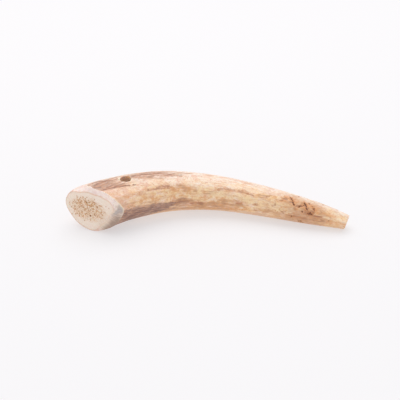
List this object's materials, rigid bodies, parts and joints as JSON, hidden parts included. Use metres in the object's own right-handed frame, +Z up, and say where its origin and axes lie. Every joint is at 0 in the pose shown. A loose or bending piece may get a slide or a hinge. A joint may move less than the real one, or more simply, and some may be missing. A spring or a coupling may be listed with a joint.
{
  "type": "deer antler tine",
  "caption": "Sawn-off deer antler tine, gently curved and tapering, with a flat sawn base, a sanded bevel and a drilled hang hole.",
  "frame": {"origin": "centre of the bounding box at the bottom, on the surface that the tine lies on", "axes": "+X from the sawn base to the tip, +Z up, +Y towards the outside of the curve, away from its hollow side"},
  "size_m": [0.1526, 0.041, 0.0264],
  "materials": {
    "antler": "dry, lightly polished antler skin, honey and pinkish cream with brown grooves, over pale sawn bone with ochre pores"
  },
  "bodies": {
    "root": {"antler": "antler"}
  },
  "joints": []
}
